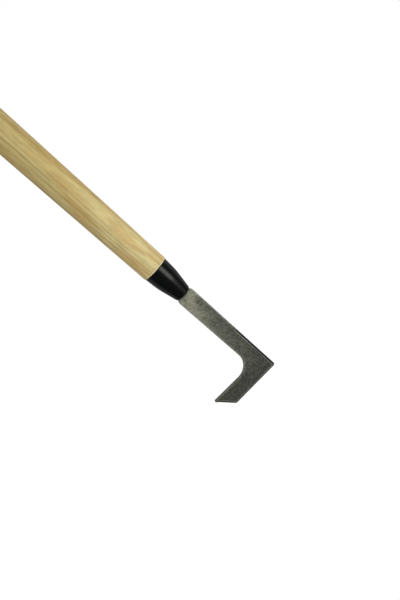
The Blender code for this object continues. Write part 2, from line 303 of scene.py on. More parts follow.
def oiled_ash():
    """Ash, turned, sanded and oiled.

    Ash is ring porous: each growth ring starts with a band of open brown pores and ends in pale dense wood,
    so the pole shows long streaks, and flat ovals where a ring is tangent to it. Oil makes it satin.
    """
    sizes = bpy.context.scene.weeder_handle
    material, tree, shader = new_material("oiled_ash")
    place = add_node(tree, "ShaderNodeTexCoord").outputs["Object"]

    # The tree's pith runs behind the pole and leans a little to it, and the fibres wander slowly
    wander_place = add_node(
        tree, "ShaderNodeMapping", {0: place, "Location": sizes.grain_offset, "Scale": (1.0, 1.0, 0.09)},
    )
    wander = add_node(
        tree, "ShaderNodeTexNoise", {"Vector": wander_place.outputs[0], "Scale": 40.0, "Detail": 1.0},
    )
    centred = add_node(
        tree, "ShaderNodeVectorMath", {0: wander.outputs["Color"], 1: (0.5, 0.5, 0.5)}, operation="SUBTRACT",
    )
    shift = add_node(
        tree, "ShaderNodeVectorMath", {0: centred.outputs[0], "Scale": 18 * MM}, operation="SCALE",
    )
    bent = add_node(tree, "ShaderNodeVectorMath", {0: place, 1: shift.outputs[0]}, operation="ADD")
    lean = (math.radians(1.3), math.radians(-0.9), 0.0)
    trunk = add_node(
        tree, "ShaderNodeMapping",
        {0: bent.outputs[0], "Location": (-5 * MM, -34 * MM, 0.0), "Rotation": lean},
    )
    # A wave texture of scale 1 repeats every pi / 10
    rings = add_node(
        tree, "ShaderNodeTexWave",
        {"Vector": trunk.outputs[0], "Scale": math.pi / 10 / sizes.ring_spacing, "Distortion": 0.0},
        wave_type="RINGS", rings_direction="Z", wave_profile="SAW",
    )
    early = add_node(
        tree, "ShaderNodeValToRGB", {"Fac": rings.outputs["Fac"]},
        stops=[(0.0, grey(0.4)), (0.08, grey(1.0)), (0.28, grey(0.4)), (0.5, grey(0.0)), (0.96, grey(0.05))],
    )

    # Fibres: fine streaks along the handle, about 1.3 mm apart
    fibre_place = add_node(tree, "ShaderNodeMapping", {0: bent.outputs[0], "Scale": (1.0, 1.0, 0.12)})
    fibres = add_node(
        tree, "ShaderNodeTexNoise",
        {"Vector": fibre_place.outputs[0], "Scale": 1 / (1.3 * MM), "Detail": 4.0, "Roughness": 0.6},
    )
    # Broader darker streaks, about 4.5 mm across and 55 mm long
    streak_place = add_node(tree, "ShaderNodeMapping", {0: bent.outputs[0], "Scale": (1.0, 1.0, 0.08)})
    streaks = add_node(
        tree, "ShaderNodeTexNoise",
        {"Vector": streak_place.outputs[0], "Scale": 1 / (4.5 * MM), "Detail": 3.0, "Roughness": 0.6},
    )
    # Warm patches, about 9 mm across and 55 mm long
    patch_place = add_node(tree, "ShaderNodeMapping", {0: bent.outputs[0], "Scale": (1.0, 1.0, 0.16)})
    patches = add_node(
        tree, "ShaderNodeTexNoise",
        {"Vector": patch_place.outputs[0], "Scale": 1 / (9 * MM), "Detail": 2.0},
    )
    # Open pores: short dark dashes in the early wood, drawn 0.5 mm wide so that they show
    pore_place = add_node(tree, "ShaderNodeMapping", {0: bent.outputs[0], "Scale": (1.0, 1.0, 0.07)})
    pores = add_node(
        tree, "ShaderNodeTexVoronoi", {"Vector": pore_place.outputs[0], "Scale": 1 / (1.1 * MM)},
    )
    pore_mask = add_node(
        tree, "ShaderNodeValToRGB", {"Fac": pores.outputs["Distance"]},
        stops=[(0.16, grey(1.0)), (0.3, grey(0.0))],
    )

    # The pore bands come and go along the pole
    early_break = add_node(
        tree, "ShaderNodeMapRange",
        {"Value": streaks.outputs["Fac"], "From Min": 0.38, "From Max": 0.62, "To Min": 0.35, "To Max": 0.8},
    )
    early_strength = add_node(
        tree, "ShaderNodeMath", {0: early.outputs[0], 1: early_break.outputs[0]}, operation="MULTIPLY",
    )
    wood = add_node(
        tree, "ShaderNodeMix",
        {"Factor": early_strength.outputs[0], 6: srgb(sizes.late_wood), 7: srgb(sizes.early_wood)},
        data_type="RGBA",
    )
    streak_mask = add_node(
        tree, "ShaderNodeValToRGB", {"Fac": streaks.outputs["Fac"]},
        stops=[(0.48, grey(0.0)), (0.7, grey(0.5))],
    )
    streaked = add_node(
        tree, "ShaderNodeMix",
        {"Factor": streak_mask.outputs[0], 6: wood.outputs[2], 7: srgb(sizes.early_wood)},
        data_type="RGBA",
    )
    patch_mask = add_node(
        tree, "ShaderNodeValToRGB", {"Fac": patches.outputs["Fac"]},
        stops=[(0.48, grey(0.0)), (0.64, grey(0.5))],
    )
    warmed = add_node(
        tree, "ShaderNodeMix",
        {"Factor": patch_mask.outputs[0], 6: streaked.outputs[2], 7: srgb(sizes.heart_tint)},
        data_type="RGBA",
    )
    fibre_tone = add_node(
        tree, "ShaderNodeMapRange",
        {"Value": fibres.outputs["Fac"], "From Min": 0.3, "From Max": 0.7, "To Min": 0.84, "To Max": 1.12},
    )
    toned = add_node(
        tree, "ShaderNodeVectorMath", {0: warmed.outputs[2], "Scale": fibre_tone.outputs[0]},
        operation="SCALE",
    )
    pore_amount = add_node(
        tree, "ShaderNodeMath", {0: pore_mask.outputs[0], 1: early_strength.outputs[0]}, operation="MULTIPLY",
    )
    pored = add_node(
        tree, "ShaderNodeMix",
        {"Factor": pore_amount.outputs[0], 6: toned.outputs[0], 7: srgb("7C5A30")},
        data_type="RGBA",
    )
    # The stretch that hands hold has taken more oil and is a little browner
    height = add_node(tree, "ShaderNodeSeparateXYZ", {0: place}).outputs["Z"]
    rise = add_node(
        tree, "ShaderNodeMapRange",
        {"Value": height, "From Min": SHOULDER_Z, "From Max": HANDLE_BOX[1].z},
    )
    held = add_node(
        tree, "ShaderNodeValToRGB", {"Fac": rise.outputs[0]},
        stops=[(0.015, grey(0.0)), (0.085, grey(1.0)), (0.78, grey(1.0)), (0.92, grey(0.0))],
    )
    gripped = add_node(
        tree, "ShaderNodeMix",
        {"Factor": held.outputs[0], 6: pored.outputs[2], 7: srgb(sizes.grip_tint)},
        data_type="RGBA", blend_type="MULTIPLY",
    )
    # The chamfer at the shoulder cuts the fibres across and stays paler
    at_chamfer = add_node(
        tree, "ShaderNodeMapRange",
        {
            "Value": height, "From Min": SHOULDER_Z + sizes.shoulder_chamfer,
            "From Max": SHOULDER_Z + 2 * sizes.shoulder_chamfer, "To Min": 0.6, "To Max": 0.0,
        },
    )
    trimmed = add_node(
        tree, "ShaderNodeMix",
        {"Factor": at_chamfer.outputs[0], 6: gripped.outputs[2], 7: srgb("E6D9AE")},
        data_type="RGBA",
    )
    burn = leaf_mark(tree, place, sizes)
    marked = add_node(
        tree, "ShaderNodeMix",
        {"Factor": burn, 6: trimmed.outputs[2], 7: srgb(sizes.burnt)},
        data_type="RGBA",
    )
    tree.links.new(marked.outputs[2], shader.inputs["Base Color"])

    roughness = add_node(
        tree, "ShaderNodeMapRange",
        {"Value": fibres.outputs["Fac"], "From Min": 0.3, "From Max": 0.7, "To Min": 0.44, "To Max": 0.56},
    )
    tree.links.new(roughness.outputs[0], shader.inputs["Roughness"])
    relief = add_node(
        tree, "ShaderNodeMath", {0: pore_amount.outputs[0], 1: burn}, operation="ADD",
    )
    depth = add_node(
        tree, "ShaderNodeMath", {0: fibres.outputs["Fac"], 1: relief.outputs[0]}, operation="SUBTRACT",
    )
    bump = add_node(
        tree, "ShaderNodeBump",
        {"Strength": 0.25, "Distance": 0.12 * MM, "Height": depth.outputs[0]},
    )
    tree.links.new(bump.outputs[0], shader.inputs["Normal"])
    return material


def leaf_mark(tree, place, sizes):
    """A scorched leaf on the handle's front: an almond outline, a midrib and side veins. Gives its mask."""
    parts = add_node(tree, "ShaderNodeSeparateXYZ", {0: place})
    across = add_node(
        tree, "ShaderNodeMath", {0: parts.outputs["X"], 1: sizes.mark_width / 2}, operation="DIVIDE",
    )
    side = add_node(tree, "ShaderNodeMath", {0: across.outputs[0]}, operation="ABSOLUTE")
    raised = add_node(tree, "ShaderNodeMath", {0: parts.outputs["Z"], 1: sizes.mark_drop}, operation="ADD")
    along = add_node(
        tree, "ShaderNodeMath", {0: raised.outputs[0], 1: sizes.mark_height / 2}, operation="DIVIDE",
    )
    squared = add_node(
        tree, "ShaderNodeMath", {0: along.outputs[0], 1: along.outputs[0]}, operation="MULTIPLY",
    )
    # Distance outside the almond, in half widths: side - (1 - along * along)
    outside = add_node(
        tree, "ShaderNodeMath", {0: side.outputs[0], 1: squared.outputs[0]}, operation="ADD",
    )
    outside = add_node(tree, "ShaderNodeMath", {0: outside.outputs[0], 1: 1.0}, operation="SUBTRACT")
    outline = add_node(tree, "ShaderNodeMath", {0: outside.outputs[0]}, operation="ABSOLUTE")
    outline = add_node(
        tree, "ShaderNodeValToRGB", {"Fac": outline.outputs[0]},
        stops=[(0.05, grey(1.0)), (0.13, grey(0.0))],
    )
    inside = add_node(
        tree, "ShaderNodeValToRGB", {"Fac": outside.outputs[0]},
        stops=[(0.0, grey(1.0)), (0.04, grey(0.0))],
    )
    midrib = add_node(
        tree, "ShaderNodeValToRGB", {"Fac": side.outputs[0]},
        stops=[(0.04, grey(1.0)), (0.09, grey(0.0))],
    )
    # Veins slope up from the midrib in three pairs
    slope = add_node(tree, "ShaderNodeMath", {0: side.outputs[0], 1: 0.55}, operation="MULTIPLY")
    climb = add_node(tree, "ShaderNodeMath", {0: along.outputs[0], 1: slope.outputs[0]}, operation="SUBTRACT")
    climb = add_node(tree, "ShaderNodeMath", {0: climb.outputs[0], 1: 0.36}, operation="PINGPONG")
    veins = add_node(
        tree, "ShaderNodeValToRGB", {"Fac": climb.outputs[0]},
        stops=[(0.02, grey(1.0)), (0.05, grey(0.0))],
    )
    lines = add_node(
        tree, "ShaderNodeMath", {0: midrib.outputs[0], 1: veins.outputs[0]}, operation="MAXIMUM",
    )
    lines = add_node(
        tree, "ShaderNodeMath", {0: lines.outputs[0], 1: inside.outputs[0]}, operation="MULTIPLY",
    )
    leaf = add_node(tree, "ShaderNodeMath", {0: lines.outputs[0], 1: outline.outputs[0]}, operation="MAXIMUM")
    # Only on the front, and scorched unevenly
    front = add_node(tree, "ShaderNodeMath", {0: parts.outputs["Y"], 1: 0.0}, operation="LESS_THAN")
    leaf = add_node(tree, "ShaderNodeMath", {0: leaf.outputs[0], 1: front.outputs[0]}, operation="MULTIPLY")
    uneven = add_node(
        tree, "ShaderNodeTexNoise", {"Vector": place, "Scale": 1 / (2.5 * MM), "Detail": 2.0},
    )
    scorch = add_node(
        tree, "ShaderNodeMapRange",
        {"Value": uneven.outputs["Fac"], "From Min": 0.3, "From Max": 0.62, "To Min": 0.35, "To Max": 0.95},
    )
    leaf = add_node(tree, "ShaderNodeMath", {0: leaf.outputs[0], 1: scorch.outputs[0]}, operation="MULTIPLY")
    return leaf.outputs[0]


def belly_tree(material):
    """Geometry nodes that swell a parallel pole to its belly and leave it slightly uneven."""
    tree = bpy.data.node_groups.new("pole_belly", "GeometryNodeTree")
    tree.interface.new_socket("Geometry", in_out="INPUT", socket_type="NodeSocketGeometry")
    for name in (
        "Shoulder Z", "Shoulder Diameter", "Belly Rise", "Belly Diameter", "Parallel Rise", "Top Diameter",
        "Waviness",
    ):
        tree.interface.new_socket(name, in_out="INPUT", socket_type="NodeSocketFloat")
    tree.interface.new_socket("Geometry", in_out="OUTPUT", socket_type="NodeSocketGeometry")
    given = add_node(tree, "NodeGroupInput").outputs

    position = add_node(tree, "GeometryNodeInputPosition").outputs[0]
    height = add_node(tree, "ShaderNodeSeparateXYZ", {0: position}).outputs["Z"]
    rise = add_node(
        tree, "ShaderNodeMath", {0: height, 1: given["Shoulder Z"]}, operation="SUBTRACT",
    ).outputs[0]

    # Below the belly the pole narrows with the square of the way to the shoulder
    low_share = add_node(
        tree, "ShaderNodeMapRange",
        {"Value": rise, "From Min": given["Belly Rise"], "From Max": 0.0, "To Min": 0.0, "To Max": 1.0},
    ).outputs[0]
    low_share = add_node(tree, "ShaderNodeMath", {0: low_share, 1: 2.0}, operation="POWER").outputs[0]
    low_loss = add_node(
        tree, "ShaderNodeMath", {0: given["Belly Diameter"], 1: given["Shoulder Diameter"]},
        operation="SUBTRACT",
    ).outputs[0]
    low_loss = add_node(tree, "ShaderNodeMath", {0: low_loss, 1: low_share}, operation="MULTIPLY").outputs[0]

    # Above it the pole narrows with the cube of the way to its parallel end
    high_share = add_node(
        tree, "ShaderNodeMapRange",
        {
            "Value": rise, "From Min": given["Belly Rise"], "From Max": given["Parallel Rise"],
            "To Min": 0.0, "To Max": 1.0,
        },
    ).outputs[0]
    high_share = add_node(tree, "ShaderNodeMath", {0: high_share, 1: 3.0}, operation="POWER").outputs[0]
    high_loss = add_node(
        tree, "ShaderNodeMath", {0: given["Belly Diameter"], 1: given["Top Diameter"]}, operation="SUBTRACT",
    ).outputs[0]
    high_loss = add_node(
        tree, "ShaderNodeMath", {0: high_loss, 1: high_share}, operation="MULTIPLY",
    ).outputs[0]

    # Turning leaves slow waves along the pole, none of them at its ends
    stretched = add_node(
        tree, "ShaderNodeVectorMath", {0: position, 1: (18.0, 18.0, 14.0)}, operation="MULTIPLY",
    ).outputs[0]
    waves = add_node(
        tree, "ShaderNodeTexNoise", {"Vector": stretched, "Scale": 1.0, "Detail": 1.0},
    ).outputs["Fac"]
    waves = add_node(tree, "ShaderNodeMath", {0: waves, 1: 0.5}, operation="SUBTRACT").outputs[0]
    waves = add_node(
        tree, "ShaderNodeMath", {0: waves, 1: given["Waviness"]}, operation="MULTIPLY",
    ).outputs[0]
    middle = add_node(
        tree, "ShaderNodeMapRange",
        {"Value": rise, "From Min": 2 * MM, "From Max": 60 * MM, "To Min": 0.0, "To Max": 4.0},
    ).outputs[0]
    waves = add_node(tree, "ShaderNodeMath", {0: waves, 1: middle}, operation="MULTIPLY").outputs[0]

    diameter = add_node(
        tree, "ShaderNodeMath", {0: given["Belly Diameter"], 1: low_loss}, operation="SUBTRACT",
    ).outputs[0]
    diameter = add_node(tree, "ShaderNodeMath", {0: diameter, 1: high_loss}, operation="SUBTRACT").outputs[0]
    body_only = add_node(
        tree, "ShaderNodeMath", {0: height, 1: -2 * HANDLE_BOX[1].z}, operation="LESS_THAN",
    ).outputs[0]
    waves = add_node(tree, "ShaderNodeMath", {0: waves, 1: body_only}, operation="MULTIPLY").outputs[0]
    diameter = add_node(tree, "ShaderNodeMath", {0: diameter, 1: waves}, operation="ADD").outputs[0]
    swell = add_node(
        tree, "ShaderNodeMath", {0: diameter, 1: given["Top Diameter"]}, operation="DIVIDE",
    ).outputs[0]
    factors = add_node(tree, "ShaderNodeCombineXYZ", {0: swell, 1: swell, 2: 1.0}).outputs[0]
    swollen = add_node(
        tree, "ShaderNodeVectorMath", {0: position, 1: factors}, operation="MULTIPLY",
    ).outputs[0]
    moved = add_node(
        tree, "GeometryNodeSetPosition", {"Geometry": given["Geometry"], "Position": swollen},
    ).outputs[0]
    real = add_node(tree, "GeometryNodeRealizeInstances", {0: moved}).outputs[0]
    finished = add_node(tree, "GeometryNodeSetMaterial", {"Geometry": real, "Material": material}).outputs[0]
    add_node(tree, "NodeGroupOutput", {0: finished})
    return tree


def pole_blank(sizes, tenon):
    """A parallel pole with a domed end, an eased cross hole and a turned tenon, before it gets its belly.

    Round the hole the mesh is a fan of rings seen along Y. Above the hole the fan lies on the dome and its
    front and back halves meet at Y = 0. Below the hole it lies on the cylinder, and its last ring goes over
    into the columns of the pole. tenon is a list of (radius, drop) from the shoulder down.
    """
    shape = bmesh.new()
    radius = sizes.top_diameter / 2
    hole = sizes.hole_diameter / 2
    ease = sizes.hole_ease
    directions = [math.tau * index / POLE_COLUMNS for index in range(POLE_COLUMNS)]

    def depth(x, z):
        return math.sqrt(max(radius**2 - x**2 - max(z, 0.0) ** 2, 0.0))

    rings = []
    for step in range(EASE_RINGS):
        turn = math.radians(90) * step / EASE_RINGS
        rings.append((hole + ease * (1 - math.cos(turn)), ease * (1 - math.sin(turn))))
    first = math.asin((hole + ease) / radius)
    for step in range(DOME_RINGS + 1):
        angle = first + (math.radians(90) - first) * step / DOME_RINGS
        rings.append((radius * math.sin(angle), 0.0))

    fans = []
    for side in (-1, 1):
        fan = []
        for reach, sunk in rings:
            ring = []
            for direction in directions:
                x = reach * math.cos(direction)
                z = reach * math.sin(direction)
                ring.append(shape.verts.new((x, side * (depth(x, z) - sunk), z)))
            fan.append(ring)
        for ring_a, ring_b in zip(fan, fan[1:]):
            bridge(shape, ring_a, ring_b)
        fans.append(fan)

    # The bore joins the two fans' first rings
    previous = fans[0][0]
    for step in range(1, BORE_RINGS):
        share = step / BORE_RINGS
        ring = [
            shape.verts.new(front.co.lerp(back.co, share)) for front, back in zip(fans[0][0], fans[1][0])
        ]
        bridge(shape, previous, ring)
        previous = ring
    bridge(shape, previous, fans[1][0])

    # Columns of the pole, once round: front half, then back half
    half = POLE_COLUMNS // 2
    front_low = fans[0][-1][half:] + fans[0][-1][:1]
    back_low = fans[1][-1][half:] + fans[1][-1][:1]
    border = front_low + back_low[-2:0:-1]
    flat_z = -radius - 4 * MM
    previous = border
    for share in (0.25, 0.5, 0.75, 1.0):
        ring = [
            shape.verts.new((vert.co.x, vert.co.y, vert.co.z + (flat_z - vert.co.z) * share))
            for vert in border
        ]
        bridge(shape, previous, ring)
        previous = ring
    chamfer_z = SHOULDER_Z + sizes.shoulder_chamfer
    steps = round((flat_z - chamfer_z) / POLE_RING_STEP)
    levels = [(radius, flat_z + (chamfer_z - flat_z) * step / steps) for step in range(1, steps + 1)]
    swell = sizes.shoulder_diameter / sizes.top_diameter
    for step in (1, 2, 3):
        turn = math.radians(90) * step / 3
        cut = sizes.shoulder_chamfer / swell * (1 - math.cos(turn))
        levels.append((radius - cut, chamfer_z - sizes.shoulder_chamfer * math.sin(turn)))
    for tenon_radius, drop in tenon:
        levels.append((tenon_radius / swell, SHOULDER_Z - drop))
    for level_radius, z in levels:
        ring = []
        for vert in border:
            around = Vector((vert.co.x, vert.co.y, 0.0)).normalized() * level_radius
            ring.append(shape.verts.new((around.x, around.y, z)))
        bridge(shape, previous, ring)
        previous = ring
    shape.faces.new(previous)

    bmesh.ops.remove_doubles(shape, verts=shape.verts, dist=0.01 * MM)
    bmesh.ops.recalc_face_normals(shape, faces=shape.faces)
    return shape


def cut_tang_socket(piece):
    """Cut the tapered socket that the blade's tang is driven into."""
    sizes = bpy.context.scene.weeder_blade
    cutter = bmesh.new()
    bmesh.ops.create_cube(cutter, size=1.0)
    top_z = NECK_Z + sizes.tang_length + FIT_GAP
    for vert in cutter.verts:
        high = vert.co.z > 0
        width, thickness = SOCKET_END if high else SOCKET_NECK
        vert.co = Vector((vert.co.x * width, vert.co.y * thickness, top_z if high else NECK_Z))
    tool = link_mesh("tang_socket_tool", cutter, piece.data.materials[0])
    modifier = piece.modifiers.new("tang_socket", "BOOLEAN")
    modifier.object = tool
    bake_modifiers(piece)
    bpy.data.objects.remove(tool)


class WEEDER_OT_handle(bpy.types.Operator):
    """Make the turned ash handle with its domed end, hang hole, burnt leaf and tenon"""

    bl_idname = "weeder.handle"
    bl_label = "Ash Handle"

    def execute(self, context):
        sizes = context.scene.weeder_handle
        ferrule = context.scene.weeder_ferrule
        inset = ferrule.wall + FIT_GAP
        tenon = [(ferrule_radius(ferrule, drop) - inset, drop) for drop in ferrule_drops(ferrule, 8)]
        blank = pole_blank(sizes, tenon)
        material = oiled_ash()
        piece = link_mesh("ash_handle", blank, material)
        tree = belly_tree(material)
        modifier = piece.modifiers.new("belly", "NODES")
        modifier.node_group = tree
        values = {
            "Shoulder Z": SHOULDER_Z,
            "Shoulder Diameter": sizes.shoulder_diameter,
            "Belly Rise": sizes.belly_rise,
            "Belly Diameter": sizes.belly_diameter,
            "Parallel Rise": HANDLE_BOX[1].z - SHOULDER_Z - sizes.top_parallel,
            "Top Diameter": sizes.top_diameter,
            "Waviness": sizes.waviness,
        }
        for item in tree.interface.items_tree:
            if item.in_out == "INPUT" and item.name in values:
                modifier[item.identifier] = values[item.name]
        bake_modifiers(piece)
        cut_tang_socket(piece)
        finish_piece(piece, "handle")
        return {"FINISHED"}


# ---------------------------------------------------------------- ferrule


def black_lacquer():
    """Pressed mild steel under stoved black lacquer.

    The lacquer is smooth and glossy, with a faint orange peel and a little dust, so a light shows as one
    soft strip along the cone.
    """
    sizes = bpy.context.scene.weeder_ferrule
    material, tree, shader = new_material("black_stoving_lacquer")
    place = add_node(tree, "ShaderNodeTexCoord").outputs["Object"]
    peel = add_node(tree, "ShaderNodeTexNoise", {"Vector": place, "Scale": 1 / (2.2 * MM), "Detail": 2.0})
    dust = add_node(tree, "ShaderNodeTexNoise", {"Vector": place, "Scale": 1 / (0.8 * MM), "Detail": 4.0})
    dust_mask = add_node(
        tree, "ShaderNodeValToRGB", {"Fac": dust.outputs["Fac"]},
        stops=[(0.58, grey(0.0)), (0.8, grey(0.08))],
    )
    colour = add_node(
        tree, "ShaderNodeMix",
        {"Factor": dust_mask.outputs[0], 6: srgb(sizes.lacquer), 7: srgb("4E4E48")},
        data_type="RGBA",
    )
    tree.links.new(colour.outputs[2], shader.inputs["Base Color"])
    roughness = add_node(
        tree, "ShaderNodeMapRange",
        {"Value": peel.outputs["Fac"], "From Min": 0.3, "From Max": 0.7, "To Min": 0.22, "To Max": 0.27},
    )
    tree.links.new(roughness.outputs[0], shader.inputs["Roughness"])
    shader.inputs["Specular Tint"].default_value = (1.0, 1.0, 0.9, 1.0)
    bump = add_node(
        tree, "ShaderNodeBump", {"Strength": 0.05, "Distance": 0.05 * MM, "Height": peel.outputs["Fac"]},
    )
    tree.links.new(bump.outputs[0], shader.inputs["Normal"])
    return material


def ferrule_radius(sizes, drop):
    """Outside radius of the ferrule above its lip: two straight tapers, blended at the knee."""
    lip_drop = SHOULDER_Z - MOUTH_Z - sizes.lip_round
    collar_slope = (sizes.top_radius - sizes.knee_radius) / sizes.knee_drop
    cone_slope = (sizes.knee_radius - sizes.lip_radius) / (lip_drop - sizes.knee_drop)
    collar = sizes.knee_radius - (drop - sizes.knee_drop) * collar_slope
    cone = sizes.knee_radius - (drop - sizes.knee_drop) * cone_slope
    return (collar + cone - math.hypot(collar - cone, sizes.knee_softness)) / 2


def ferrule_drops(sizes, steps):
    """Evenly spaced drops from the top of the ferrule to the start of its lip."""
    lip_drop = SHOULDER_Z - MOUTH_Z - sizes.lip_round
    return [FIT_GAP + (lip_drop - FIT_GAP) * step / steps for step in range(steps + 1)]


def ferrule_profile(sizes):
    """Closed outline of the ferrule's wall as (radius, z): down the outside, round the lip, up the inside."""
    profile = []
    rim = sizes.rim_round
    top_z = SHOULDER_Z - FIT_GAP
    for step in range(5):
        turn = math.radians(90) * step / 4
        radius = ferrule_radius(sizes, FIT_GAP) - rim * (1 - math.sin(turn))
        profile.append((radius, top_z - rim * (1 - math.cos(turn))))
    drops = ferrule_drops(sizes, 40)
    for drop in drops[1:]:
        profile.append((ferrule_radius(sizes, drop), SHOULDER_Z - drop))
    lip_centre = profile[-1][0] - sizes.lip_round
    for step in range(1, 13):
        turn = math.radians(90) * step / 12
        radius = lip_centre + sizes.lip_round * math.cos(turn)
        z = MOUTH_Z + sizes.lip_round * (1 - math.sin(turn))
        if radius > sizes.mouth_radius + rim:
            profile.append((radius, z))
    for step in range(4):
        turn = math.radians(90) * step / 3
        profile.append((
            sizes.mouth_radius + rim * (1 - math.sin(turn)), MOUTH_Z + rim * (1 - math.cos(turn)),
        ))
    profile.append((sizes.mouth_radius, MOUTH_Z + sizes.lip_round - FIT_GAP))
    for drop in reversed(drops[::4]):
        profile.append((ferrule_radius(sizes, drop) - sizes.wall, SHOULDER_Z - drop))
    return profile


def turned(profile):
    """Turn a closed (radius, z) outline about the handle's axis."""
    shape = bmesh.new()
    columns = []
    for index in range(TURN_SEGMENTS):
        angle = math.tau * index / TURN_SEGMENTS
        column = [
            shape.verts.new((radius * math.cos(angle), radius * math.sin(angle), z)) for radius, z in profile
        ]
        columns.append(column)
    for column, after in zip(columns, columns[1:] + columns[:1]):
        bridge(shape, column, after)
    bmesh.ops.recalc_face_normals(shape, faces=shape.faces)
    return shape


class WEEDER_OT_ferrule(bpy.types.Operator):
    """Make the pressed black ferrule with its rolled lip"""

    bl_idname = "weeder.ferrule"
    bl_label = "Black Ferrule"

    def execute(self, context):
        profile = ferrule_profile(context.scene.weeder_ferrule)
        piece = link_mesh("black_ferrule", turned(profile), black_lacquer())
        finish_piece(piece, "ferrule")
        return {"FINISHED"}


# ---------------------------------------------------------------- blade


